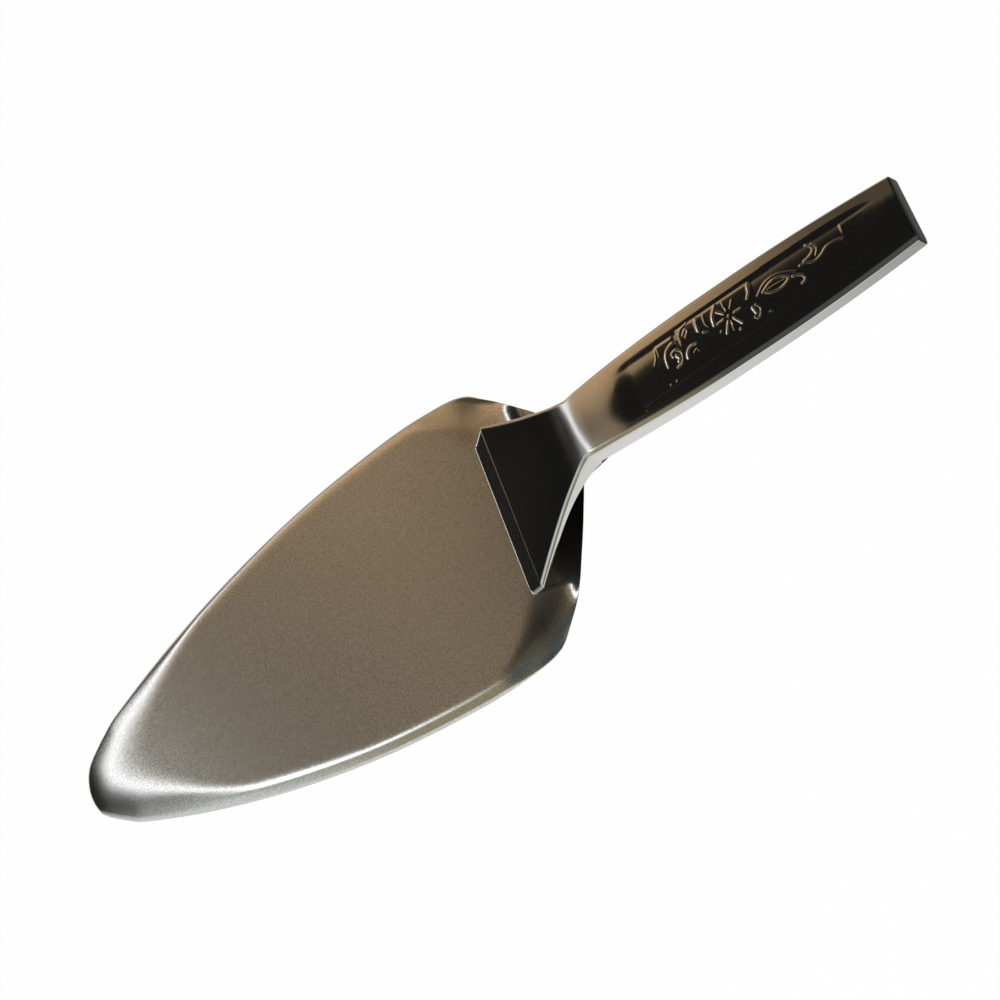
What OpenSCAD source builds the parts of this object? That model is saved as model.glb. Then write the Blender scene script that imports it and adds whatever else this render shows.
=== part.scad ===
// Cake server: a pressed leaf-shaped blade with a hollow stamped handle standing on its heel.
// The blade rests on its rolled-down rim. X runs from the tip to the butt and Z is up.
// The origin is the middle of the part's footprint, on the resting plane.

/* [Blade] */
// Length from the tip to the line where the heel bends up
blade_len = 157; // [140:1:180]
// Greatest width across the rolled rim
blade_w = 67.2; // [58:0.2:80]
// Thickness of the blade sheet
blade_t = 1; // [0.8:0.05:1.2]
// Height of the flat top above the edge of the rim
rim_drop = 2.4; // [2:0.1:3]
// Width of the band that rolls down at the tip
tip_roll = 20; // [14:0.5:24]
// Width of the rolled band a third of the way along
rim_roll = 5.2; // [4:0.1:6.4]
// Width of the rolled band towards the heel
heel_roll = 4.2; // [3.4:0.1:5]
// Width of the rolled band at the heel's corners
corner_roll = 13; // [9:0.5:15]
// Width of the steep lip along the rolled band's edge
lip_roll = 1.5; // [1.2:0.1:2]
// Half length of the rounding where the heel bends up
heel_r = 4; // [2.5:0.5:5]

/* [Tang] */
// Distance from the heel's bend to the handle's neck
ramp_len = 24; // [21:0.5:28]
// Distance from the heel's bend to the knee, where the tang gets flatter
knee_len = 15.5; // [13:0.5:18]
// Height of the knee above the blade's flat top
knee_h = 8.9; // [8:0.1:9.6]
// Width of the tang just below the neck
tang_neck_w = 13.2; // [11.6:0.2:14]
// Width of the tang inside the handle
tang_w = 10.4; // [8:0.2:10.8]
// Distance from the neck to where the tang lies along the belly plate
tang_rise_len = 13; // [11:0.5:16]
// Length of the tang along the belly plate
tang_len = 28; // [18:1:44]

/* [Handle] */
// Thickness of the handle sheet
shell_t = 0.8; // [0.6:0.05:0.9]
// Height of the middle of the grip's top above the resting plane
grip_h = 22.2; // [20:0.2:26]
// Length of the grip from the neck to the butt
grip_len = 79; // [66:1:100]
// Width of the grip at the neck
neck_w = 13.8; // [12.8:0.2:15.4]
// Greatest width of the grip
grip_w = 17.2; // [16:0.2:20]
// Width of the grip at the butt
butt_w = 14.2; // [12:0.2:16]
// Depth of the grip's side wall at the neck
wall_neck = 5.9; // [5.6:0.1:6.6]
// Depth of the grip's side wall at the butt
wall_butt = 3.9; // [3.6:0.1:5]
// Half length of the rounding where the top bends at the neck
bend_r = 3.2; // [2:0.1:3.6]
// Radius of the shoulder between the top and the side wall
shoulder_r = 1.3; // [1:0.1:1.8]
// Depth of the dip in the top at the neck
neck_dip = 0.4; // [0.1:0.05:0.6]
// Length over which the grip's top comes out of that dip
dip_len = 12; // [9:0.5:15]
// Rise of the middle of the grip's top above its edges
crown = 0.5; // [0.1:0.05:0.8]
// Drop of the belly's middle below its edges
belly = 0.4; // [0.1:0.05:0.8]

/* [Fan] */
// Width of the fan's front edge
fan_w = 39.2; // [32:0.2:46]
// Distance from the fan's front edge back to the neck
fan_len = 29; // [26:0.5:34]
// Height of the fan's front edge above the blade's flat top
fan_h = 4.65; // [3.8:0.05:5.6]
// Reach of the sloping front face ahead of that edge
fan_nose = 4.9; // [3.5:0.1:7]
// Narrowing of the front face on each side, down to its foot
nose_in = 1; // [0.4:0.1:1.6]
// Depth of the folded lip along the fan's sides, at the front
fan_lip = 1.4; // [1.3:0.1:2.4]
// Shoulder radius along the fan's sharp front
edge_r = 0.9; // [0.85:0.05:1.2]
// Width of the rounded shoulders along the fan's sides, at the front
fan_reach = 1.9; // [1.3:0.1:2.4]

/* [Joints] */
// Length of the end cap's plug inside the grip
cap_plug = 4; // [2.5:0.5:8]
// Bulge of the end cap's face
cap_bulge = 0.5; // [0.2:0.1:1]
// Clearance between fitted sheets
fit_gap = 0.05; // [0.02:0.01:0.1]
// Diameter of a spot weld
weld_d = 3; // [2:0.2:4]
// Gap between the tang and the belly plate that a spot weld bridges
weld_gap = 0.3; // [0.2:0.05:0.4]
// Distance between spot welds
weld_step = 8; // [5:0.5:12]

/* [Hidden] */

heel_x = blade_len;
bend_x = heel_x + heel_r / 4;
knee_x = heel_x + knee_len;
neck_x = heel_x + ramp_len;
fan_x = neck_x - fan_len;
butt_x = neck_x + grip_len;
total_len = butt_x + cap_bulge;
edge_h = grip_h - crown;
// How fast the grip's wall gets shallower behind the neck, and the fan's lip deeper towards it
wall_fall = 2.6;
lip_growth = 3.6;
fan_top = rim_drop + fan_h;
fan_slope = (edge_h - fan_top) / fan_len;
seat_x = neck_x + tang_rise_len;
tang_top = grip_foot(seat_x) + shell_t + weld_gap + blade_t;
heel_slope = knee_h / (knee_x - bend_x);
tang_slope = (tang_top - rim_drop - knee_h) / (seat_x - knee_x);
tang_end = seat_x + tang_len;
weld_count = floor((tang_len - weld_d) / weld_step);

// The blade's half outline, as shares of its length and half width, from the tip to the heel
outline_shares = [
    [0, 0], [0.0032, 0.092], [0.0115, 0.172], [0.024, 0.228], [0.041, 0.28], [0.07, 0.357],
    [0.11, 0.44], [0.25, 0.64], [0.42, 0.822], [0.6, 0.948], [0.78, 0.998], [0.88, 0.985],
    [0.932, 0.94], [0.965, 0.83], [1, 0.69]
];
// The ramp's half outline, as shares of its length and of its loss in width
ramp_shares = [[0.18, 0.76], [0.31, 0.59], [0.46, 0.38], [0.58, 0.19], [0.68, 0.02], [0.76, 0], [1, 0]];
steps = 5;
// Where the columns of the blade's mesh lie, as shares of the half width
column_shares = [0, 0.3, 0.55, 0.72, 0.8, 0.86, 0.91, 0.95, 0.98, 1];
// Where the rolled band gets narrower, as shares of the blade's length
tip_share = 0.36;
narrow_share = 0.66;
// Where it gets wider again towards the heel's corners
corner_start_share = 0.83;
corner_end_share = 0.94;
// Share of the rim's drop that its steep lip takes
lip_share = 0.25;
// Where the rolled rim fades out, as shares of the blade's length
fade_start_share = 0.93;
fade_end_share = 1.04;

function lerp(a, b, u) = a + (b - a) * u;
function clamp01(u) = min(1, max(0, u));
function smooth(u) = let (v = clamp01(u)) v * v * (3 - 2 * v);

// A ramp that starts at x0, rounded over a distance r on both sides
function ramp(x, x0, r) = x < x0 - r ? 0 : x > x0 + r ? x - x0 : pow(x - x0 + r, 2) / (4 * r);

// Height of the blade sheet's top: flat, up to the knee, then flatter, then along the belly plate
function sheet_z(x) = rim_drop + heel_slope * ramp(x, bend_x, heel_r)
    - (heel_slope - tang_slope) * ramp(x, knee_x, heel_r) - tang_slope * ramp(x, seat_x, bend_r)
    + grip_foot(max(x, seat_x)) - grip_foot(seat_x);

heel_half = outline_shares[len(outline_shares) - 1][1] * blade_w / 2;
half_controls = concat(
    [for (s = outline_shares) [s[0] * blade_len, s[1] * blade_w / 2]],
    [for (s = ramp_shares) [heel_x + s[0] * ramp_len, lerp(tang_neck_w / 2, heel_half, s[1])]]
);

// A smooth curve through four neighbouring points
function curve(p, q, r, s, u) =
    0.5 * (2 * q + (r - p) * u + (2 * p - 5 * q + 4 * r - s) * u * u
        + (3 * q - p - 3 * r + s) * u * u * u);

half_n = len(half_controls);
function control(i) =
    i < 0 ? [half_controls[1][0], -half_controls[1][1]]
    : i >= half_n ? 2 * half_controls[half_n - 1] - half_controls[half_n - 2]
    : half_controls[i];

first_share = 0.1;
taper_x = neck_x + blade_t;
tang_taper = 4;
half_outline = concat(
    [curve(control(-1), control(0), control(1), control(2), first_share)],
    [for (i = [0 : half_n - 2]) for (j = [1 : steps])
        curve(control(i - 1), control(i), control(i + 1), control(i + 2), j / steps)],
    [for (j = [0 : 2]) [taper_x + tang_taper * j / 2, lerp(tang_neck_w, tang_w, j / 2) / 2]],
    [for (j = [1 : 4]) [lerp(taper_x + tang_taper, seat_x + bend_r, j / 4), tang_w / 2]],
    [for (j = [1 : 4]) [lerp(seat_x + bend_r, tang_end - tang_w / 4, j / 4), tang_w / 2]],
    [[tang_end - tang_w / 12, tang_w / 2.4], [tang_end, tang_w / 4]]
);
row_n = len(half_outline);

function unit(v) = v / norm(v);
function inward(i) =
    let (a = half_outline[max(0, i - 1)], b = half_outline[min(row_n - 1, i + 1)], d = unit(b - a))
    [d[1], -d[0]];
inner_outline = [for (i = [0 : row_n - 1]) half_outline[i] + inward(i) * blade_t];

// Distance from a point to the rim, evened out over all the rim so that it has no creases
rim_line = concat([for (i = [row_n - 1 : -1 : 0]) [half_outline[i][0], -half_outline[i][1]]], half_outline);
function pull(s, h) = s / (2 * h * h * (h * h + s * s)) + atan(s / h) * PI / 360 / pow(h, 3);
function segment_pull(p, a, b) =
    let (along = unit(b - a), away = p - a, start = -away * along,
        h = max(abs(cross(away, along)), fit_gap / 5))
    pull(start + norm(b - a), h) - pull(start, h);
function to_rim(p) =
    let (pulls = [for (i = [0 : len(rim_line) - 2]) segment_pull(p, rim_line[i], rim_line[i + 1])])
    pow(PI / 2 / (pulls * [for (v = pulls) 1]), 1 / 3);

function fade(x) =
    1 - smooth((x / blade_len - fade_start_share) / (fade_end_share - fade_start_share));
function quarter(u) = let (v = 1 - clamp01(u)) 1 - sqrt(max(0, 1 - v * v));
function roll_at(x) =
    lerp(tip_roll, rim_roll, smooth(x / blade_len / tip_share))
        + (heel_roll - rim_roll) * smooth((x / blade_len - tip_share) / (narrow_share - tip_share))
        + (corner_roll - heel_roll)
            * smooth((x / blade_len - corner_start_share) / (corner_end_share - corner_start_share));

// How far the surface falls towards the rim at a distance d inside it
function rim_fall(x, d) = rim_drop * fade(x)
    * lerp(pow(1 - clamp01(d / roll_at(x)), 3), quarter(d / lip_roll), lip_share);

// One surface of the blade: a row of points across it at each outline point
function surface_row(i, o, lift) =
    let (x = o[i][0], half = max(o[i][1], 0))
    [for (s = column_shares)
        let (y = half * s, edge_z = sheet_z(x) - lift - max(0, rim_drop * fade(x) - lift))
        [x, y, s == 1 ? edge_z : max(0, sheet_z(x) - rim_fall(x, to_rim([x, y])) - lift)]];

col_n = len(column_shares);
function both_sides(row) =
    concat([for (j = [col_n - 1 : -1 : 1]) [row[j][0], -row[j][1], row[j][2]]], row);
full_n = 2 * col_n - 1;

module blade() {
    top = [for (i = [0 : row_n - 1]) each both_sides(surface_row(i, half_outline, 0))];
    under = [for (i = [0 : row_n - 1]) each both_sides(surface_row(i, inner_outline, blade_t))];
    m = row_n * full_n;
    function at(i, j) = i * full_n + j;
    faces = concat(
        [for (i = [0 : row_n - 2]) for (j = [0 : full_n - 2])
            each [[at(i, j), at(i, j + 1), at(i + 1, j + 1)], [at(i, j), at(i + 1, j + 1), at(i + 1, j)]]],
        [for (i = [0 : row_n - 2]) for (j = [0 : full_n - 2])
            each [[m + at(i, j), m + at(i + 1, j + 1), m + at(i, j + 1)],
                [m + at(i, j), m + at(i + 1, j), m + at(i + 1, j + 1)]]],
        [for (i = [0 : row_n - 2]) for (j = [0, full_n - 1])
            let (a = at(i, j), b = at(i + 1, j))
            each j == 0 ? [[a, b, m + b], [a, m + b, m + a]] : [[a, m + b, b], [a, m + a, m + b]]],
        [for (j = [0 : full_n - 2]) for (i = [0, row_n - 1])
            let (a = at(i, j), b = at(i, j + 1))
            each i == 0 ? [[a, m + a, m + b], [a, m + b, b]] : [[a, m + b, m + a], [a, b, m + b]]]
    );
    color([0.56, 0.53, 0.49]) polyhedron(concat(top, under), faces);
}

// Half width of the handle's top sheet
widest_share = 0.45;
narrowing_share = 0.55;
fan_curve = 1.2;
function handle_half(x) =
    let (g = (x - neck_x) / grip_len, f = clamp01((x - fan_x) / fan_len))
    g < 0 ? lerp(neck_w, fan_w, pow(1 - f, fan_curve)) / 2
    : g < widest_share ? lerp(neck_w, grip_w, sin(90 * g / widest_share)) / 2
    : g < narrowing_share ? grip_w / 2
    : lerp(grip_w, butt_w, pow((g - narrowing_share) / (1 - narrowing_share), 2)) / 2;

// The shallow dip at the neck
function dip(x) = neck_dip * smooth(x < neck_x ? 2 * fan_share(x) - 1 : 1 - (x - neck_x) / dip_len);

// Heights of the top sheet's edge and of its wall's foot
function top_z(x) = edge_h - fan_slope * ramp(2 * neck_x - x, neck_x, bend_r) - dip(x);
function grip_foot(x) =
    edge_h - lerp(wall_butt, wall_neck, pow(1 - clamp01((x - neck_x) / grip_len), wall_fall));
function fan_share(x) = clamp01((x - fan_x) / fan_len);
function lip_foot(x) = top_z(x) - lerp(fan_lip, wall_neck, pow(fan_share(x), lip_growth));
function foot_z(x) = x > neck_x ? grip_foot(x) : max(lip_foot(x), sheet_z(x) + fit_gap);
function crown_at(x) = crown * fan_share(x);
function shoulder_at(x) = lerp(edge_r, shoulder_r, fan_share(x));
function reach_at(x) = lerp(fan_reach, shoulder_r, smooth(fan_share(x)));

arc_n = 5;
top_n = 4;
// Half of a section through the top sheet's face, from the middle down to the wall's foot
function face_half(half, top, foot, r, reach, rise) = concat(
    [for (j = [0 : top_n]) let (y = (half - reach) * j / top_n)
        [y, top + rise * (1 - pow(y / (half - reach), 2))]],
    [for (j = [1 : arc_n]) let (a = 90 * j / arc_n)
        [half - reach + reach * sin(a), top - r + r * cos(a)]],
    [[half, (top - r + foot) / 2], [half, foot]]
);
function mirrored(h) = concat(
    [for (j = [len(h) - 1 : -1 : 1]) [-h[j][0], h[j][1]]], h);
function at_x(x, profile) = [for (p = profile) [x, p[0], p[1]]];

// A sheet section: the outer face, then the inner one
function sheet_section(x, half, top, foot, r, reach, rise) = [
    at_x(x, mirrored(face_half(half, top, foot, r, reach, rise))),
    at_x(x, mirrored(face_half(half - shell_t, top - shell_t, foot, r - shell_t, reach - shell_t, rise)))
];

nose_z = rim_drop + fit_gap;
nose_rise = shell_t + shell_t / 4;
// How much closer the grip's sections lie at the neck than at the butt
section_growth = 1.3;
handle_x = concat(
    [for (j = [0 : 2 * steps]) fan_x + (fan_len - 2 * bend_r) * j / (2 * steps)],
    [for (j = [-4 : 4]) neck_x + bend_r * j / 3],
    [for (j = [1 : 4 * steps]) let (a = neck_x + 2 * bend_r)
        a + (butt_x - a) * pow(j / (4 * steps), section_growth)]
);
nose_section = sheet_section(fan_x - fan_nose, fan_w / 2 - nose_in, nose_z + nose_rise, nose_z,
    edge_r, fan_reach, 0);
handle_sections = concat([nose_section], [for (x = handle_x)
    sheet_section(x, handle_half(x), top_z(x), foot_z(x), shoulder_at(x), reach_at(x), crown_at(x))]);

// A folded sheet lofted through its sections
module folded_sheet(sections) {
    rows = len(sections);
    n = len(sections[0][0]);
    points = [for (s = sections) each concat(s[0], s[1])];
    function at(i, k, j) = (2 * i + k) * n + j;
    faces = concat(
        [for (i = [0 : rows - 2]) for (j = [0 : n - 2])
            each [[at(i, 0, j), at(i, 0, j + 1), at(i + 1, 0, j + 1)],
                [at(i, 0, j), at(i + 1, 0, j + 1), at(i + 1, 0, j)],
                [at(i, 1, j), at(i + 1, 1, j + 1), at(i, 1, j + 1)],
                [at(i, 1, j), at(i + 1, 1, j), at(i + 1, 1, j + 1)]]],
        [for (i = [0 : rows - 2]) let (e = n - 1)
            each [[at(i, 0, 0), at(i + 1, 0, 0), at(i + 1, 1, 0)], [at(i, 0, 0), at(i + 1, 1, 0), at(i, 1, 0)],
                [at(i, 0, e), at(i + 1, 1, e), at(i + 1, 0, e)], [at(i, 0, e), at(i, 1, e), at(i + 1, 1, e)]]],
        [for (j = [0 : n - 2]) let (z = rows - 1)
            each [[at(0, 0, j), at(0, 1, j + 1), at(0, 0, j + 1)], [at(0, 0, j), at(0, 1, j), at(0, 1, j + 1)],
                [at(z, 0, j), at(z, 0, j + 1), at(z, 1, j + 1)], [at(z, 0, j), at(z, 1, j + 1), at(z, 1, j)]]]
    );
    polyhedron(points, faces);
}

module handle_top() {
    color([0.2, 0.19, 0.18]) folded_sheet(handle_sections);
}

// The belly plate closes the grip between its side walls
plate_x = seat_x + blade_t;
function plate_face(x, lift) =
    let (half = handle_half(x) - shell_t - fit_gap)
    at_x(x, [for (j = [-3 : 3]) [half * j / 3, grip_foot(x) + lift - belly * (1 - pow(j / 3, 2))]]);

module handle_back() {
    n = 4 * steps;
    sections = [for (i = [0 : n]) let (x = lerp(plate_x, butt_x, i / n))
        [plate_face(x, shell_t), plate_face(x, 0)]];
    color([0.3, 0.29, 0.28]) folded_sheet(sections);
}

// The end cap fills the grip's inside at the butt
function cap_section(x, fill) =
    let (half = handle_half(min(x, butt_x)) - shell_t - fit_gap, top = edge_h - shell_t - fit_gap,
        low = grip_foot(butt_x) + shell_t + fit_gap, mid = (top + low) / 2,
        r = shoulder_r - shell_t, face = mirrored(face_half(half, top, low, r, r, crown - fit_gap)))
    [for (p = face) [x, p[0] * fill, mid + (p[1] - mid) * fill]];
bulge_shares = [[0, 1], [0.5, 0.9], [0.85, 0.65], [1, 0.35]];

module end_cap() {
    sections = concat([cap_section(butt_x - cap_plug, 1), cap_section(butt_x - cap_plug / 2, 1)],
        [for (s = bulge_shares) cap_section(butt_x + cap_bulge * s[0], s[1])]);
    rows = len(sections);
    n = len(sections[0]);
    peak = (n - 1) / 2;
    points = [for (s = sections) each s];
    faces = concat(
        [for (i = [0 : rows - 2]) for (j = [0 : n - 1]) let (k = (j + 1) % n)
            each [[i * n + j, i * n + k, (i + 1) * n + k], [i * n + j, (i + 1) * n + k, (i + 1) * n + j]]],
        [for (j = [0 : n - 1]) let (k = (j + 1) % n, z = (rows - 1) * n)
            if (j != peak && k != peak) each [[peak, k, j], [z + peak, z + j, z + k]]]
    );
    color([0.07, 0.07, 0.07]) polyhedron(points, faces);
}

// Weld nuggets between the tang and the belly plate
module spot_welds() {
    for (i = [1 : weld_count]) {
        x = seat_x + bend_r + (i - 1 / 2) * weld_step;
        low = grip_foot(x) + shell_t - belly;
        lean = atan((grip_foot(x + weld_d) - grip_foot(x)) / weld_d);
        color([0.45, 0.44, 0.43]) translate([x, 0, low]) rotate([0, -lean, 0])
            cylinder(d = weld_d, h = sheet_z(x) - blade_t - low, $fn = 32);
    }
}

module placed() {
    translate([-total_len / 2, 0, 0]) children();
}

placed() blade();
placed() handle_top();
placed() handle_back();
placed() end_cap();
placed() spot_welds();
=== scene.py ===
"""Cake server: a satin pressed blade and a polished hollow handle, on a white studio floor."""

import math

import bpy
import numpy as np
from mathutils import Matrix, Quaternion, Vector


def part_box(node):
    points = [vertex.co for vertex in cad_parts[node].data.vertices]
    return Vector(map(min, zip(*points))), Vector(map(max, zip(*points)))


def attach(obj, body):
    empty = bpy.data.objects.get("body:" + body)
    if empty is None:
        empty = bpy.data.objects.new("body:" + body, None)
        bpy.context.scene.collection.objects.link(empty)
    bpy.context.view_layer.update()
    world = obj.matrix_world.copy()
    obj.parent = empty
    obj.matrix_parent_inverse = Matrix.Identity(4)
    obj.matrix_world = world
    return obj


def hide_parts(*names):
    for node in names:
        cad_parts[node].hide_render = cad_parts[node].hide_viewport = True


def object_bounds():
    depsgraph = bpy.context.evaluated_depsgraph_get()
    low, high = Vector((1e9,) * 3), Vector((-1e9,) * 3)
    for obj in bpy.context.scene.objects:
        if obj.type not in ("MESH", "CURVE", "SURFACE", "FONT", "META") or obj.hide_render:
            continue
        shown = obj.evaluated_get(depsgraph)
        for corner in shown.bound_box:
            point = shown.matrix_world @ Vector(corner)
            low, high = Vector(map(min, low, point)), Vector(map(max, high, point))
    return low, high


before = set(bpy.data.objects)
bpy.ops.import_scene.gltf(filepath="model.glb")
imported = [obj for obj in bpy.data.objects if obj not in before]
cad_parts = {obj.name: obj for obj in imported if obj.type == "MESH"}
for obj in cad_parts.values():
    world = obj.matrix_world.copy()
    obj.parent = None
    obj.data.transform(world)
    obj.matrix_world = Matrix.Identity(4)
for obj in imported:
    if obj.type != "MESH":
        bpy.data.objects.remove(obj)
frame_low, frame_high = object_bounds()

# Sizes in millimetres, as in the part's source, with X from the tip until a mesh is placed
MM = 0.001
blade_len = 157
blade_t = 1
rim_drop = 2.4
tip_roll = 20
rim_roll = 5.2
heel_roll = 4.2
corner_roll = 13
lip_roll = 1.5
heel_r = 4
ramp_len = 24
knee_len = 15.5
knee_h = 8.9
tang_neck_w = 13.2
tang_w = 10.4
tang_rise_len = 13
tang_len = 28
shell_t = 0.8
grip_h = 22.2
grip_len = 79
neck_w = 13.8
grip_w = 17.2
butt_w = 14.2
wall_neck = 5.9
wall_butt = 3.9
bend_r = 3.2
shoulder_r = 1.3
neck_dip = 0.4
dip_len = 12
crown = 0.5
belly = 0.4
fan_w = 39.2
fan_len = 29
fan_h = 4.65
fan_nose = 4.9
nose_in = 1
fan_lip = 1.4
edge_r = 0.9
fan_reach = 1.9
cap_plug = 4
cap_bulge = 0.5
fit_gap = 0.05
weld_gap = 0.3

# Places worked out from those sizes and from the frame
blade_low, blade_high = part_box("blade")
blade_w = (blade_high.y - blade_low.y) / MM
tip_x = frame_low.x / MM
heel_x = blade_len
bend_x = heel_x + heel_r / 4
knee_x = heel_x + knee_len
neck_x = heel_x + ramp_len
fan_x = neck_x - fan_len
butt_x = neck_x + grip_len
edge_h = grip_h - crown
fan_slope = (edge_h - rim_drop - fan_h) / fan_len
seat_x = neck_x + tang_rise_len
tang_end = seat_x + tang_len

# How finely the sheets are drawn: steps and least lengths in millimetres, counts, and crisp edges in degrees
outline_step = 0.6
rim_step = 1.4
least_length = 0.001
least_height = 0.01
grip_step = 0.4
relief_step = 0.16
fan_front_step = 0.25
curve_steps = 12
flat_points = 46
rolled_points = 16
plate_rows = 90
plate_points = 25
cap_rows = 6
fan_rows = 44
bend_rows = 30
butt_rows = 6
outer_points = (50, 8)
inner_points = (6, 3)
cap_points = (12, 6)
wall_points = 5
stroke_steps = 5
batches = 20
crisp_deg = 40
stamped_crisp_deg = 35

# The blade's half outline, as shares of its length and half width, and the ramp's
outline_shares = [
    (0, 0), (0.0032, 0.092), (0.0115, 0.172), (0.024, 0.228), (0.041, 0.28), (0.07, 0.357),
    (0.11, 0.44), (0.25, 0.64), (0.42, 0.822), (0.6, 0.948), (0.78, 1), (0.88, 0.985),
    (0.932, 0.94), (0.965, 0.83), (1, 0.69),
]
ramp_shares = [(0.18, 0.76), (0.31, 0.59), (0.46, 0.38), (0.58, 0.19), (0.68, 0.02), (0.76, 0), (1, 0)]

# Where the rolled rim changes, as shares of the blade's length, and how much of its fall is a lip
fade_shares = (0.93, 1.04)
tip_share = 0.36
narrow_share = 0.66
corner_shares = (0.83, 0.94)
lip_share = 0.25

# The tang's taper behind the neck, and its rounded end as shares of its width
taper_x = neck_x + blade_t
tang_taper = 4
tang_end_shares = [(1 / 4, 1 / 2), (1 / 12, 5 / 12), (0, 1 / 4)]

# The handle's fan and grip: where the grip is widest and narrows again, and the powers of its curves
widest_share = 0.45
narrowing_share = 0.55
wall_fall = 2.6
lip_growth = 3.6
fan_curve = 1.2
nose_share = 1.25
nose_rows = (0, 0.05, 0.3, 0.6, 0.9, 0.95)
nose_foot = (-0.3, 0, -0.045)

# The end cap's face, as shares of its bulge and of its outline
bulge_shares = [(0, 1), (0.3, 0.985), (0.6, 0.93), (0.85, 0.78), (1, 0.4)]

# The steel's speckles in millimetres, their noise, and the dull bend's start and end past the neck
speckle_size = 0.36
speckle_span = (0.35, 0.65)
noise_detail = 2
dull_bend = (-7, -3, 3, 9)

# The room that the steel mirrors: its colours and its strip lamp's, and two directions in it
dark_ceiling = (-0.2, 0.3, 0.933)
strip_side = (0.627, 0.481, 0.613)
room_back = (0.09, 0.075, 0.05, 1)
room_middle = (0.35, 0.268, 0.18, 1)
room_tip = (0.15, 0.134, 0.096, 1)
room_far = (0.74, 0.5, 0.28, 1)
room_near = (0.9, 1.0, 1.05, 1)
room_side = (0.38, 0.34, 0.22, 1)
room_butt = (0.08, 0.1, 0.1, 1)
room_dark = (0.012, 0.012, 0.012, 1)
strip_light = (2.9, 3.05, 3.3, 1)
strip_near = (3.9, 4.1, 4.4, 1)
strip_glow = (1.1, 1.12, 1.08, 1)

# Spans over which the room's colours and its strip lamp come or go, measured towards the tip
middle_tipwards = (0.42, 0.54)
tip_tipwards = (0.5, 0.65)
far_tipwards = (0.26, 0.42)
side_tipwards = (0.34, 0.48)
near_tipwards = (0.6, 0.9)
strip_end_tipwards = (0.52, 0.65)

# Such spans measured towards the far side
far_side = (0.25, 0.75)
near_side = (-0.35, 0.05)
strip_start = (-0.4, 0.05)
strip_bright = (-0.05, 0.2)
strip_gap = (-0.03, 0.12)
strip_stop = (0.62, 0.72)
dark_start = (-0.35, 0.1)
widening = (-0.1, 0.1)

# Such spans measured over the strip lamp's lower edge, and how far its near end reaches lower
strip_low = (0.005, 0.025)
strip_high = (0.05, 0.07)
glow_high = (0.05, 0.15)
dark_high = (-0.02, 0.01)
widened = 0.1

# Such a span measured towards the dark ceiling
overhead_start = (0.948, 0.96)

# The floor's paper in metres: its colours, among them the painted reflection that mirrors see, tan towards
# the far side and grey towards the butt, the spans over which that painted reflection changes, how much of
# it is plain light to mirrors and to the camera, and its half width
paper_white = (1, 1, 1, 1)
paper_matt = (0.85, 0.85, 0.85, 1)
# Painted reflection tones, seen only by mirrors: tan towards the far side, grey towards the butt
painted_far_reflection = (0.42, 0.3, 0.18, 1)
painted_butt_reflection = (0.42, 0.43, 0.43, 1)
butt_painted_reflection_span = (0.06, 0.14)
far_painted_reflection_span = (0, 0.05)
painted_reflection_share = 0.9
camera_share = 0.98
floor_reach = 3

# The photograph's view, in metres and degrees
camera_place = (0.21835, -0.1426, 0.3304)
camera_aim = (0.01566, 0.0054, 0)
camera_roll = -81.03
lens_mm = 68.4
sensor_mm = 36
nearest_seen = 0.01
furthest_seen = 20


def smooth(u):
    """An even rise from 0 to 1, with level ends."""
    v = np.clip(u, 0, 1)
    return v * v * (3 - 2 * v)


def rise(x, start, end):
    """An even rise from 0 to 1 while x goes from start to end."""
    return smooth((x - start) / (end - start))


def mix(a, b, u):
    """The value a share u of the way from a to b."""
    return a + (b - a) * u


def curve(points, steps, before=None):
    """A smooth curve through points, with some steps between each pair."""
    p = np.array(points, float)
    first = 2 * p[0] - p[1] if before is None else before
    p = np.vstack([first, p, 2 * p[-1] - p[-2]])
    u = (np.arange(steps) / steps)[:, None]
    parts = [
        0.5 * (2 * b + (c - a) * u + (2 * a - 5 * b + 4 * c - d) * u**2 + (3 * b - a - 3 * c + d) * u**3)
        for a, b, c, d in zip(p, p[1:], p[2:], p[3:])
    ]
    return np.vstack([*parts, p[-2:-1]])


def even(points, step):
    """The same line with points an even step apart."""
    run = np.concatenate([[0], np.cumsum(np.linalg.norm(np.diff(points, axis=0), axis=1))])
    at = np.linspace(0, run[-1], max(2, round(run[-1] / step) + 1))
    return np.stack([np.interp(at, run, points[:, k]) for k in range(points.shape[1])], axis=1)


def ramp(x, start, r):
    """A ramp that starts at start, rounded over a distance r on both sides."""
    bend = np.clip(x - start + r, 0, 2 * r)
    return bend**2 / (4 * r) + np.maximum(x - start - r, 0)


def grip_foot(x):
    """Height of the foot of the grip's side wall."""
    fallen = (1 - np.clip((x - neck_x) / grip_len, 0, 1)) ** wall_fall
    return edge_h - mix(wall_butt, wall_neck, fallen)


tang_top = grip_foot(seat_x) + shell_t + weld_gap + blade_t
heel_slope = knee_h / (knee_x - bend_x)
tang_slope = (tang_top - rim_drop - knee_h) / (seat_x - knee_x)


def sheet_z(x):
    """Height of the blade sheet's top: flat, up to the knee, then flatter, then along the belly plate."""
    risen = heel_slope * ramp(x, bend_x, heel_r) - (heel_slope - tang_slope) * ramp(x, knee_x, heel_r)
    seated = grip_foot(np.maximum(x, seat_x)) - grip_foot(seat_x)
    return rim_drop + risen - tang_slope * ramp(x, seat_x, bend_r) + seated


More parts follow.
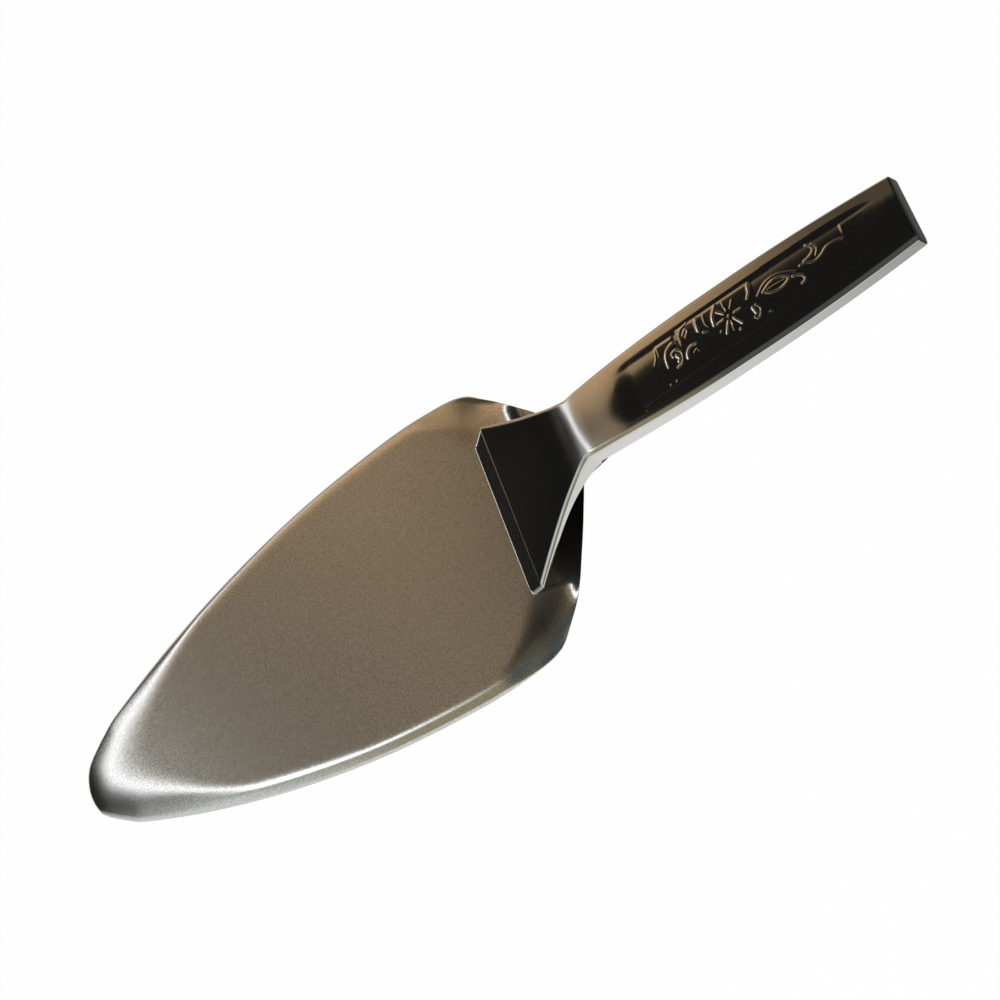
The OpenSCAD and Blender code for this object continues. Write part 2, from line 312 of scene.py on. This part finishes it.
def blade_half_outline():
    """Half the blade's outline from the tip, round the heel and along the tang."""
    half = blade_w / 2
    heel_half = outline_shares[-1][1] * half
    controls = [(s * blade_len, w * half) for s, w in outline_shares]
    controls += [(heel_x + s * ramp_len, mix(tang_neck_w / 2, heel_half, w)) for s, w in ramp_shares]
    leaf = curve(controls, curve_steps, before=(controls[1][0], -controls[1][1]))
    leaf[:, 1] *= half / leaf[:, 1].max()
    tang = [(taper_x, tang_neck_w / 2), (taper_x + tang_taper, tang_w / 2)]
    tang += [(tang_end - s * tang_w, w * tang_w) for s, w in tang_end_shares]
    return even(np.vstack([leaf, tang]), outline_step)[1:]


def rim_distance(points, outline):
    """Distance to the rim, evened out over all the rim so that it has no creases."""
    half = even(outline, rim_step)
    both = np.concatenate([half[::-1] * (1, -1), half])
    d = np.diff(both, axis=0)
    length = np.linalg.norm(d, axis=1)
    keep = length > least_length
    a, length = both[:-1][keep], length[keep]
    d = d[keep] / length[:, None]
    found = []
    for few in np.array_split(points, batches):
        away = few[:, None] - a
        start = -(away * d).sum(2)
        h = np.maximum(np.abs(away[..., 0] * d[:, 1] - away[..., 1] * d[:, 0]), least_height)

        def pull(s):
            """The pull of the rim up to a distance s along it from its nearest place."""
            return s / (2 * h**2 * (h**2 + s**2)) + np.arctan(s / h) / (2 * h**3)

        found.append((math.pi / 2 / (pull(start + length) - pull(start)).sum(1)) ** (1 / 3))
    return np.concatenate(found)


def rim_fade(x):
    """How much of the rolled rim is left: it fades out over the heel."""
    return 1 - rise(x / blade_len, *fade_shares)


def rim_fall(x, d):
    """How far the blade's surface falls towards the rim at a distance d inside it."""
    along = x / blade_len
    roll = mix(tip_roll, rim_roll, rise(along, 0, tip_share))
    roll += (heel_roll - rim_roll) * rise(along, tip_share, narrow_share)
    roll += (corner_roll - heel_roll) * rise(along, *corner_shares)
    slope = np.clip(1 - d / roll, 0, 1) ** 3
    lip = 1 - np.sqrt(np.clip(1 - np.clip(1 - d / lip_roll, 0, 1) ** 2, 0, 1))
    return rim_drop * rim_fade(x) * mix(slope, lip, lip_share)


def blade_surface(outline, rim, lift):
    """One face of the blade sheet: a row of points across it at each point of its outline."""
    turn = np.sin(np.linspace(0, math.pi / 2, rolled_points))
    edge_shares = 1 - 2 * lip_roll / (blade_w / 2) * (1 - turn)
    shares = np.concatenate([np.linspace(0, edge_shares[0], flat_points)[:-1], edge_shares])
    shares = np.concatenate([-shares[:0:-1], shares])
    x = np.repeat(outline[:, 0], len(shares))
    y = np.outer(outline[:, 1], shares).ravel()
    inside = rim_distance(np.stack([x, np.abs(y)], axis=1), rim)
    edge_z = sheet_z(x) - lift - np.maximum(0, rim_drop * rim_fade(x) - lift)
    z = np.maximum(0, sheet_z(x) - rim_fall(x, inside) - lift)
    z = np.where(np.abs(np.tile(shares, len(outline))) == 1, edge_z, z)
    return np.stack([x, y, z], axis=1).reshape(len(outline), len(shares), 3)


def inset(outline, distance):
    """An outline moved inwards."""
    d = np.gradient(outline, axis=0)
    d /= np.linalg.norm(d, axis=1)[:, None]
    return outline + np.stack([d[:, 1], -d[:, 0]], axis=1) * distance


class Surface:
    """A mesh built up from grids of points, strips and end faces."""

    def __init__(self):
        self.points, self.faces = [], []

    def grid(self, rows, flip=False):
        """Adds a grid of points with its faces, and returns the points' numbers."""
        n, m = rows.shape[:2]
        numbers = len(self.points) + np.arange(n * m).reshape(n, m)
        self.points += [tuple(p) for p in rows.reshape(-1, 3)]
        self.quads(numbers, flip)
        return numbers

    def quads(self, numbers, flip=False):
        """Joins rows of points by four-sided faces."""
        a, b, c, d = numbers[:-1, :-1], numbers[:-1, 1:], numbers[1:, 1:], numbers[1:, :-1]
        faces = np.stack([a, b, c, d] if not flip else [d, c, b, a], axis=-1).reshape(-1, 4)
        self.faces += faces.tolist()

    def face(self, numbers):
        """Closes a ring of points with one face."""
        self.faces.append([int(k) for k in numbers])

    def made(self, name, crisp):
        """The finished object, in metres in the frame's place."""
        mesh = bpy.data.meshes.new(name)
        points = np.array(self.points)
        points[:, 0] += tip_x
        mesh.from_pydata((points * MM).tolist(), [], self.faces)
        mesh.polygons.foreach_set("use_smooth", [True] * len(mesh.polygons))
        mesh.set_sharp_from_angle(angle=math.radians(crisp))
        mesh.validate()
        mesh.update()
        piece = bpy.data.objects.new(name, mesh)
        bpy.context.scene.collection.objects.link(piece)
        return piece


def make_blade():
    """The pressed leaf with its rolled rim, its raised heel and the tang."""
    outline = blade_half_outline()
    s = Surface()
    top = s.grid(blade_surface(outline, outline, 0))
    low = s.grid(blade_surface(inset(outline, blade_t), outline, blade_t), flip=True)
    s.quads(np.stack([top[:, 0], low[:, 0]], axis=1), flip=True)
    s.quads(np.stack([top[:, -1], low[:, -1]], axis=1))
    s.quads(np.stack([top[0], low[0]], axis=1).T, flip=True)
    s.quads(np.stack([top[-1], low[-1]], axis=1).T)
    return s.made("blade_sheet", crisp_deg)


def handle_half(x):
    """Half width of the handle's top sheet."""
    g = (x - neck_x) / grip_len
    fan = mix(neck_w, fan_w, np.clip(1 - (x - fan_x) / fan_len, 0, 1) ** fan_curve)
    front = mix(neck_w, grip_w, np.sin(math.pi / 2 * np.clip(g / widest_share, 0, 1)))
    back = mix(grip_w, butt_w, np.clip((g - narrowing_share) / (1 - narrowing_share), 0, 1) ** 2)
    return np.where(g < 0, fan, np.where(g < widest_share, front, back)) / 2


def top_z(x):
    """Height of the handle's top along its edges, with the shallow dip at the neck."""
    near_neck = np.where(x < neck_x, 2 * fan_share(x) - 1, 1 - (x - neck_x) / dip_len)
    return edge_h - fan_slope * ramp(2 * neck_x - x, neck_x, bend_r) - neck_dip * smooth(near_neck)


def fan_share(x):
    """How far along the fan, from its front to the neck."""
    return np.clip((x - fan_x) / fan_len, 0, 1)


# The stamped flower pattern on the grip: lines through points, then half widths at both ends and height
panel_depth = 0.14
panel_edge = 0.45
far_edge = 2.0
near_edge = 2.5
relief_share = 0.65
border_rise = 0.03
panel_ends = (193, 198, 250, 258.5)
near_border = ((193, -5.6), (199, -5.2), (211, -4.9), (226, -4.55), (248, -4.5), (258, -4.3))
far_border = ((193, 4.9), (199, 5.0), (211, 5.1), (226, 5.3), (236, 5.4), (248, 5.0), (258, 4.3))
swells = [(204.4, 209, 1.8, 4.3, 0.16), (209.8, 228, 0.9, 4.8, 0.17), (248, 257, 1.0, 4.0, 0.1)]
pattern = [
    # the big scroll with its curl, and the leaf behind it
    ([(209.3, 2.8), (208.3, 3.0), (206.7, 2.3), (206.0, 1.0), (205.8, -0.8)], 0.35, 0.3, 0.17),
    ([(207.6, 0.3), (207.5, 1.1), (208.5, 1.4), (209.5, 0.6), (209.5, -0.6), (208.8, -1.7), (207.7, -1.9)],
     0.25, 0.3, 0.14),
    ([(208.3, 0.2), (208.8, -0.4), (208.3, -1.0)], 0.4, 0.3, 0.18),
    ([(203.3, 1.2), (204.1, 2.3), (204.4, 3.9)], 0.2, 0.3, 0.1),
    # the second curl
    ([(210.5, 3.7), (211.2, 4.5), (212.8, 5.0)], 0.3, 0.2, 0.14),
    ([(211.2, 3.2), (212.0, 3.9), (212.4, 3.3), (211.6, 2.5)], 0.25, 0.25, 0.15),
    # petals on both sides of the flower
    ([(214.8, 4.1), (214.6, 2.2)], 0.75, 0.6, 0.2),
    ([(219.5, 4.5), (218.3, 2.8), (218.0, 1.2)], 0.5, 0.4, 0.19),
    ([(227.3, 4.2), (226.9, 2.8), (226.2, 2.0)], 0.45, 0.3, 0.18),
    ([(216.6, 4.3), (216.4, 2.6), (216.9, 1.6)], 0.25, 0.2, 0.08),
    ([(215.3, 1.25), (216.5, 0.75)], 0.25, 0.2, 0.12),
    ([(218.7, -0.8), (218.9, -0.7)], 0.25, 0.25, 0.1),
    # the flower's eight rays and its middle
    ([(220.7, 2.0), (219.1, 3.6)], 0.22, 0.3, 0.18),
    ([(221.35, 2.3), (221.25, 4.3)], 0.2, 0.25, 0.1),
    ([(222.3, 2.3), (223.2, 3.5)], 0.2, 0.25, 0.1),
    ([(222.7, 1.1), (224.3, 1.1)], 0.22, 0.25, 0.14),
    ([(222.2, 0.25), (223.4, -1.6)], 0.22, 0.32, 0.18),
    ([(221.5, -0.1), (221.4, -1.9)], 0.2, 0.25, 0.11),
    ([(220.9, 0.25), (219.75, -1.7)], 0.22, 0.3, 0.18),
    ([(220.3, 1.1), (218.6, 0.95)], 0.22, 0.25, 0.14),
    ([(221.4, 1.1), (221.5, 1.1)], 0.4, 0.4, 0.12),
    ([(222.5, -2.5), (222.7, -2.45)], 0.3, 0.3, 0.17),
    # the crescent under the first petal and the small leaf under the second
    ([(210.4, -1.4), (210.7, -0.5), (211.7, 0.25), (213.2, 0.1)], 0.45, 0.2, 0.18),
    ([(212.0, -1.2), (212.8, -0.9), (213.2, -1.5)], 0.2, 0.2, 0.08),
    ([(226.5, -0.3), (226.8, -1.5)], 0.4, 0.4, 0.19),
    ([(227.3, 0.0), (227.9, -1.0), (227.6, -2.1), (226.8, -2.6), (226.2, -2.1)], 0.2, 0.3, 0.13),
    # the pointed leaf, its stem and its small curl
    ([(229.6, 1.2), (231.3, 2.0), (232.7, 2.2), (234.3, 1.8), (235.6, 0.85)], 0.25, 0.3, 0.15),
    ([(230.0, 1.0), (231.0, 0.3), (232.7, -0.1), (234.3, 0.1), (235.5, 0.7)], 0.25, 0.3, 0.15),
    ([(230.6, 1.1), (232.7, 1.1), (234.6, 0.9)], 0.15, 0.2, 0.07),
    ([(228.3, 1.2), (230.2, 2.5), (232.0, 2.9), (234.0, 2.6), (236.0, 1.7), (237.2, 1.0)], 0.2, 0.25, 0.1),
    ([(236.2, 0.5), (237.2, 0.2), (238.1, -0.4), (238.2, -1.4), (237.3, -1.7)], 0.3, 0.25, 0.15),
    # the wavy tail and the curled leaf over it
    ([(238.3, 1.5), (239.7, 1.25), (240.7, 0.75), (241.7, 0.65), (243.0, 1.0), (244.3, 1.7), (245.7, 1.8),
      (247.0, 1.6), (248.0, 1.2)], 0.25, 0.3, 0.13),
    ([(240.9, 4.4), (241.7, 3.7), (241.8, 2.7), (240.6, 2.0), (239.4, 1.8)], 0.3, 0.25, 0.15),
    ([(242.0, 4.0), (242.7, 2.6), (242.0, 1.5)], 0.25, 0.2, 0.13),
    # small dots
    ([(206.2, -4.1), (206.4, -4.1)], 0.25, 0.25, 0.1),
    ([(204.7, -4.1), (204.9, -4.1)], 0.25, 0.25, 0.1),
    ([(229.3, -2.8), (230.0, -3.0)], 0.22, 0.22, 0.1),
]


def stroke(points, line, start, end):
    """How much of its height a raised line has at each point: all along it, none past its half width."""
    a, b = line[:-1], line[1:]
    d = b - a
    away = points[:, None] - a[None]
    u = np.clip((away * d).sum(2) / (d * d).sum(1), 0, 1)
    gap = np.linalg.norm(away - u[..., None] * d, axis=2)
    nearest = gap.argmin(1)
    rows = np.arange(len(points))
    half = mix(start, end, (nearest + u[rows, nearest]) / len(d))
    return np.clip(1 - (gap[rows, nearest] / half) ** 2, 0, 1) ** 2


def relief(x, y):
    """Height of the stamped pattern over the grip's plain top: a sunk panel with raised lines in it."""
    near, far = (np.interp(x, *np.array(b).T) for b in (near_border, far_border))
    start, started, ending, end = panel_ends
    inside = rise(x, start, started) * (1 - rise(x, ending, end))
    inside *= smooth((y - near) / near_edge + 0.5) * smooth((far - y) / far_edge + 0.5)
    raised = np.zeros(len(x))
    for x0, x1, y0, y1, swell in swells:
        along = smooth((x - x0) / panel_edge) * smooth((x1 - x) / panel_edge)
        raised += swell * along * np.clip((y - y0) / (y1 - y0), 0, 1) * smooth((y1 - y) / panel_edge + 0.5)
    lines = np.zeros(len(x))
    points = np.stack([x, y], axis=1)
    for controls, first, last, height in pattern:
        line = curve(controls, stroke_steps)
        reach = max(first, last)
        low, high = line.min(0) - reach, line.max(0) + reach
        here = np.nonzero(((points > low) & (points < high)).all(1))[0]
        lines[here] = np.maximum(lines[here], height * stroke(points[here], line, first, last))
    border = border_rise * np.clip(1 - ((y - near) / panel_edge) ** 2, 0, 1) ** 2
    return inside * (relief_share * (raised + lines) + border - panel_depth)


def foot_z(x):
    """Height of the foot of the handle's side wall or lip."""
    lip = top_z(x) - mix(fan_lip, wall_neck, fan_share(x) ** lip_growth)
    return np.where(x > neck_x, grip_foot(x), np.maximum(lip, sheet_z(x) + fit_gap))


def face_half(half, top, foot, r, camber, top_n, arc_n, reach=None):
    """Half a section of the handle's face, from the middle down to the wall's foot."""
    reach = r if reach is None else reach
    y = np.linspace(0, half - reach, top_n + 1)
    a = np.linspace(0, math.pi / 2, arc_n + 1)[1:]
    w = np.linspace(0, 1, wall_points)[1:]
    return np.concatenate([
        np.stack([y, top + camber * (1 - (y / (half - reach)) ** 2)], axis=1),
        np.stack([half - reach + reach * np.sin(a), top - r + r * np.cos(a)], axis=1),
        np.stack([half + 0 * w, mix(top - r, foot, w)], axis=1),
    ])


def section(x, half, top, foot, r, camber, top_n, arc_n, reach=None):
    """A whole section of the handle's face at one place along it."""
    h = face_half(half, top, foot, r, camber, top_n, arc_n, reach)
    h = np.concatenate([h[:0:-1] * (-1, 1), h])
    return np.column_stack([np.full(len(h), x), h])


def handle_face(stations, inwards, top_n, arc_n):
    """The rows of one side of the handle's sheet, inwards from its outer face."""
    nose_z = rim_drop + fit_gap
    nose_top = nose_z + nose_share * shell_t
    nose = section(fan_x - fan_nose, fan_w / 2 - nose_in - inwards, nose_top - inwards, nose_z,
                   edge_r - inwards, 0, top_n, arc_n, fan_reach - inwards)
    rows = []
    for x in stations:
        share = fan_share(x)
        rows.append(section(x, handle_half(x) - inwards, top_z(x) - inwards, foot_z(x),
                            mix(edge_r, shoulder_r, share) - inwards, crown * share, top_n, arc_n,
                            mix(fan_reach, shoulder_r, smooth(share)) - inwards))
    front = [mix(nose, rows[0], share) for share in nose_rows]
    return np.array([nose + nose_foot] + front + rows)


def make_belly_plate():
    """The plate that closes the grip from below."""
    x = np.linspace(seat_x + blade_t, butt_x, plate_rows)[:, None]
    across = np.linspace(-1, 1, plate_points)
    half = handle_half(x) - shell_t - fit_gap
    y = half * across
    low = grip_foot(x) - belly * (1 - across**2)
    outer, inner = (np.stack([x + 0 * y, y, low + lift], axis=2) for lift in (0, shell_t))
    s = Surface()
    out, back = s.grid(outer, flip=True), s.grid(inner)
    s.quads(np.stack([out[:, 0], back[:, 0]], axis=1))
    s.quads(np.stack([out[:, -1], back[:, -1]], axis=1), flip=True)
    s.quads(np.stack([out[0], back[0]]))
    s.quads(np.stack([out[-1], back[-1]]), flip=True)
    return s.made("belly_plate", crisp_deg)


def make_end_cap():
    """The plug that closes the butt. Its bulging face also covers the top sheet's cut end."""
    top = edge_h - shell_t - fit_gap
    low = grip_foot(butt_x) + shell_t + fit_gap
    middle = (top + low) / 2
    r = shoulder_r - shell_t

    def ring(x, fill, wider=0):
        """The plug's outline at one place, filled to a share of itself, or wider than the plug."""
        half = handle_half(min(x, butt_x)) - shell_t - fit_gap + wider
        h = face_half(half, top + wider, low - wider, r + wider, crown - fit_gap, *cap_points)
        h = np.concatenate([h[:0:-1] * (-1, 1), h, h[-1:] * (0, 1), h[:0:-1][:1] * (-1, 1)])
        return np.column_stack([np.full(len(h), x), h[:, 0] * fill, middle + (h[:, 1] - middle) * fill])

    bulge = curve(bulge_shares, cap_rows)
    rings = [ring(x, 1) for x in np.linspace(butt_x - cap_plug, butt_x + fit_gap, cap_rows)]
    rings += [ring(butt_x + mix(fit_gap, cap_bulge, share), fill, shell_t) for share, fill in bulge]
    s = Surface()
    numbers = s.grid(np.array(rings))
    s.face(numbers[0][:-1][::-1])
    s.face(numbers[-1][:-1])
    return s.made("end_plug", crisp_deg)


def make_handle_top():
    """The stamped top sheet: the fan over the heel, the neck and the grip."""
    bend_start, bend_end = neck_x - 2 * bend_r, neck_x + 2 * bend_r
    stations = np.concatenate([
        [fan_x],
        np.linspace(fan_x + fan_front_step, bend_start, fan_rows),
        np.linspace(bend_start, bend_end, bend_rows)[1:],
        np.arange(bend_end + grip_step, panel_ends[0], grip_step),
        np.arange(panel_ends[0], panel_ends[-1], relief_step),
        np.linspace(panel_ends[-1], butt_x, butt_rows),
    ])
    outer = handle_face(stations, 0, *outer_points)
    flat = np.abs(outer[..., 1]) < butt_w / 2 - shoulder_r
    flat &= outer[..., 0] > panel_ends[0]
    outer[flat, 2] += relief(outer[flat, 0], outer[flat, 1])
    inner = handle_face(stations, shell_t, *inner_points)
    s = Surface()
    out = s.grid(outer)
    back = s.grid(inner, flip=True)
    s.quads(np.stack([out[:, 0], back[:, 0]], axis=1), flip=True)
    s.quads(np.stack([out[:, -1], back[:, -1]], axis=1))
    s.face([*back[0], *out[0][::-1]])
    s.face([*out[-1], *back[-1][::-1]])
    return s.made("handle_shell", stamped_crisp_deg)


class Value:
    """A shader value. Sums and products of values add their Math nodes."""

    def __init__(self, shader, socket):
        self.shader, self.socket = shader, socket

    def math(self, operation, first, second):
        """Adds the Math node for one operation on two values or numbers."""
        made = self.shader.node("ShaderNodeMath", {"operation": operation}, {0: first, 1: second})
        return self.shader.out(made)

    def __add__(self, other):
        return self.math("ADD", self, other)

    def __sub__(self, other):
        return self.math("SUBTRACT", self, other)

    def __mul__(self, other):
        return self.math("MULTIPLY", self, other)

    def __rsub__(self, other):
        return self.math("SUBTRACT", other, self)

    __radd__ = __add__
    __rmul__ = __mul__


class Shader:
    """The node tree of a material or of the world."""

    def __init__(self, owner):
        owner.use_nodes = True
        self.tree = owner.node_tree
        self.tree.nodes.clear()

    def node(self, kind, settings=None, sockets=None):
        """Adds a node of that kind, with its settings and its sockets' values or links."""
        made = self.tree.nodes.new(kind)
        for name, value in (settings or {}).items():
            setattr(made, name, value)
        for name, value in (sockets or {}).items():
            if isinstance(value, Value):
                self.tree.links.new(value.socket, made.inputs[name])
            else:
                made.inputs[name].default_value = value
        return made

    def out(self, made, name=0):
        """One of a node's outputs, the first where none is named."""
        return Value(self, made.outputs[name])

    def rise(self, value, start, end):
        """A smooth step from 0 to 1 while the value goes from start to end."""
        sockets = {"Value": value, "From Min": start, "From Max": end}
        return self.out(self.node("ShaderNodeMapRange", {"interpolation_type": "SMOOTHSTEP"}, sockets))

    def fall(self, value, start, end):
        """A smooth step from 1 to 0 while the value goes from start to end."""
        return 1 - self.rise(value, start, end)

    def blend(self, share, first, second):
        """A colour that share of the way from the first to the second."""
        made = self.node("ShaderNodeMix", {"data_type": "RGBA"}, {0: share, 6: first, 7: second})
        return self.out(made, 2)

    def along(self, direction, axis):
        """How far a direction points along an axis."""
        made = self.node("ShaderNodeVectorMath", {"operation": "DOT_PRODUCT"}, {0: direction, 1: axis})
        return self.out(made, "Value")

    def noise(self, place, size):
        """Soft cloudy noise with features of that size in millimetres."""
        sockets = {"Vector": place, "Scale": 1 / (size * MM), "Detail": noise_detail}
        return self.out(self.node("ShaderNodeTexNoise", None, sockets))


def steel(name, colour, roughness, grain, grain_depth, speckle, bend_roughness=0):
    """Steel with a fine even grain, speckles a little lighter and darker, and a duller bend."""
    material = bpy.data.materials.new(name)
    sh = Shader(material)
    place = sh.out(sh.node("ShaderNodeTexCoord"), "Object")
    if bend_roughness:
        x = sh.out(sh.node("ShaderNodeSeparateXYZ", None, {0: place}))
        start, started, ending, end = ((neck_x + tip_x + past) * MM for past in dull_bend)
        roughness = sh.rise(x, start, started) * sh.fall(x, ending, end) * bend_roughness + roughness
    bump = sh.node("ShaderNodeBump", None, {"Height": sh.noise(place, grain), "Distance": grain_depth * MM})
    light = sh.rise(sh.noise(place, speckle_size), *speckle_span)
    darker, lighter = ([*(c * (1 + side * speckle) for c in colour), 1] for side in (-1, 1))
    shine = sh.node("ShaderNodeBsdfPrincipled", None, {
        "Base Color": sh.blend(light, darker, lighter),
        "Metallic": 1,
        "Roughness": roughness,
        "Normal": sh.out(bump),
    })
    sh.node("ShaderNodeOutputMaterial", None, {"Surface": sh.out(shine)})
    return material


def plastic(name, colour, roughness, gloss):
    """Plain smooth plastic."""
    material = bpy.data.materials.new(name)
    sh = Shader(material)
    shine = sh.node("ShaderNodeBsdfPrincipled", None, {
        "Base Color": (*colour, 1),
        "Roughness": roughness,
        "Specular IOR Level": gloss,
    })
    sh.node("ShaderNodeOutputMaterial", None, {"Surface": sh.out(shine)})
    return material


def paper():
    """White paper that stays white to the camera, with a painted reflection for mirrors, greyer towards the
    butt and tan towards the far side, and a faint shadow.
    """
    material = bpy.data.materials.new("floor_paper")
    sh = Shader(material)
    path = sh.node("ShaderNodeLightPath")
    place = sh.node("ShaderNodeSeparateXYZ", None, {0: sh.out(sh.node("ShaderNodeTexCoord"), "Object")})
    matt = sh.node("ShaderNodeBsdfDiffuse", None, {"Color": paper_matt})
    # Painted reflection: mirrors see this paper glowing greyer towards the butt and tan towards the far side
    painted_tone = sh.blend(sh.rise(sh.out(place, 0), *butt_painted_reflection_span), paper_white, painted_butt_reflection)
    painted_tone = sh.blend(sh.rise(sh.out(place, 1), *far_painted_reflection_span), painted_tone, painted_far_reflection)
    painted_reflection_glow = sh.node("ShaderNodeEmission", None, {"Color": painted_tone, "Strength": 1})
    white = sh.node("ShaderNodeEmission", None, {"Color": paper_white, "Strength": 1})
    glossy = sh.out(path, "Is Glossy Ray") * painted_reflection_share
    both = sh.node("ShaderNodeMixShader", None, {"Fac": glossy, 1: sh.out(matt), 2: sh.out(painted_reflection_glow)})
    camera = sh.out(path, "Is Camera Ray") * camera_share
    both = sh.node("ShaderNodeMixShader", None, {"Fac": camera, 1: sh.out(both), 2: sh.out(white)})
    sh.node("ShaderNodeOutputMaterial", None, {"Surface": sh.out(both)})
    return material


def make_world():
    """A dim warm room for the steel to mirror: dark overhead, lighter nearby, with a strip lamp."""
    world = bpy.data.worlds.new("room")
    bpy.context.scene.world = world
    sh = Shader(world)
    towards = sh.out(sh.node("ShaderNodeTexCoord"), "Generated")
    axes = sh.node("ShaderNodeSeparateXYZ", None, {0: towards})
    tipwards, y = 0 - sh.out(axes, 0), sh.out(axes, 1)
    over = sh.along(towards, strip_side)
    lowered = over + sh.fall(y, *widening) * widened
    started = sh.rise(y, *strip_start)

    # The room from its back to its far side, with the lamp's glow and the dark below it
    light = sh.blend(sh.rise(tipwards, *middle_tipwards), room_back, room_middle)
    light = sh.blend(sh.rise(tipwards, *tip_tipwards), light, room_tip)
    light = sh.blend(sh.rise(y, *far_side) * sh.rise(tipwards, *far_tipwards), light, room_far)
    light = sh.blend(sh.fall(over, *glow_high) * started, light, strip_glow)
    light = sh.blend(sh.fall(lowered, *dark_high) * sh.rise(y, *dark_start), light, room_dark)

    # The near side
    near = sh.blend(sh.rise(tipwards, *side_tipwards), room_butt, room_side)
    near = sh.blend(sh.rise(tipwards, *near_tipwards), near, room_near)
    light = sh.blend(sh.fall(y, *near_side), light, near)

    # The strip lamp, brighter at its near end, and the dark ceiling
    across = sh.fall(over, *strip_high) * sh.rise(lowered, *strip_low)
    strip = sh.blend(sh.fall(y, *strip_bright), strip_light, strip_near)
    ended = 1 - sh.fall(y, *strip_gap) * sh.fall(tipwards, *strip_end_tipwards)
    light = sh.blend(across * started * sh.fall(y, *strip_stop) * ended, light, strip)
    light = sh.blend(sh.rise(sh.along(towards, dark_ceiling), *overhead_start), light, room_dark)

    # White where the camera sees it
    camera = sh.out(sh.node("ShaderNodeLightPath"), "Is Camera Ray")
    light = sh.blend(camera, light, paper_white)
    both = sh.node("ShaderNodeBackground", None, {"Color": light, "Strength": 1})
    sh.node("ShaderNodeOutputWorld", None, {"Surface": sh.out(both)})


def softbox(name, towards, distance, side, power):
    """A square lamp in that direction from the object, facing it."""
    lamp = bpy.data.lights.new(name, "AREA")
    lamp.shape = "SQUARE"
    lamp.size = side
    lamp.energy = power
    box = bpy.data.objects.new(name, lamp)
    direction = Vector(towards).normalized()
    box.location = direction * distance
    box.rotation_mode = "QUATERNION"
    box.rotation_quaternion = direction.to_track_quat("Z", "Y")
    bpy.context.scene.collection.objects.link(box)


def make_floor():
    """The sheet of paper that the server lies on."""
    mesh = bpy.data.meshes.new("floor")
    corners = [(x * floor_reach, y * floor_reach, 0) for x, y in ((-1, -1), (1, -1), (1, 1), (-1, 1))]
    mesh.from_pydata(corners, [], [(0, 1, 2, 3)])
    floor = bpy.data.objects.new("floor", mesh)
    floor.data.materials.append(paper())
    bpy.context.scene.collection.objects.link(floor)


def make_camera():
    """The photograph's view, from the near side of the butt, with the picture rolled."""
    camera = bpy.data.objects.new("camera", bpy.data.cameras.new("camera"))
    camera.data.lens = lens_mm
    camera.data.sensor_width = sensor_mm
    camera.data.clip_start = nearest_seen
    camera.data.clip_end = furthest_seen
    view = Vector(camera_aim) - Vector(camera_place)
    roll = Quaternion((0, 0, 1), math.radians(camera_roll))
    camera.location = camera_place
    camera.rotation_mode = "QUATERNION"
    camera.rotation_quaternion = view.to_track_quat("-Z", "Y") @ roll
    bpy.context.scene.collection.objects.link(camera)
    bpy.context.scene.camera = camera


def dress(piece, material, slot, *nodes):
    """Gives a piece its material and ties it to the CAD."""
    piece.data.materials.append(material)
    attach(piece, "root")
    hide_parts(*nodes)


def paint(node, material):
    """Gives a CAD node that is shown as it is a material."""
    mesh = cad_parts[node].data
    mesh.materials.clear()
    mesh.materials.append(material)


satin = steel("blade_satin", (0.6, 0.58, 0.55), roughness=0.17, grain=0.35, grain_depth=0.003, speckle=0.14)
polished = steel("handle_polished", (0.62, 0.61, 0.58), roughness=0.1, grain=1.5, grain_depth=0.002,
                 speckle=0.03, bend_roughness=0.12)
dark_cap = plastic("cap_dark", (0.015, 0.015, 0.015), roughness=0.35, gloss=0.25)

dress(make_blade(), satin, "blade_satin", "blade")
dress(make_handle_top(), polished, "handle_polished", "handle_top")
dress(make_belly_plate(), polished, "belly_polished", "handle_back")
dress(make_end_cap(), dark_cap, "cap_dark", "end_cap")
paint("spot_welds", satin)

make_world()
make_floor()
make_camera()
softbox("window", (0.6, -0.5, 0.62), distance=1.2, side=0.7, power=11)

bpy.context.scene.view_settings.view_transform = "Standard"
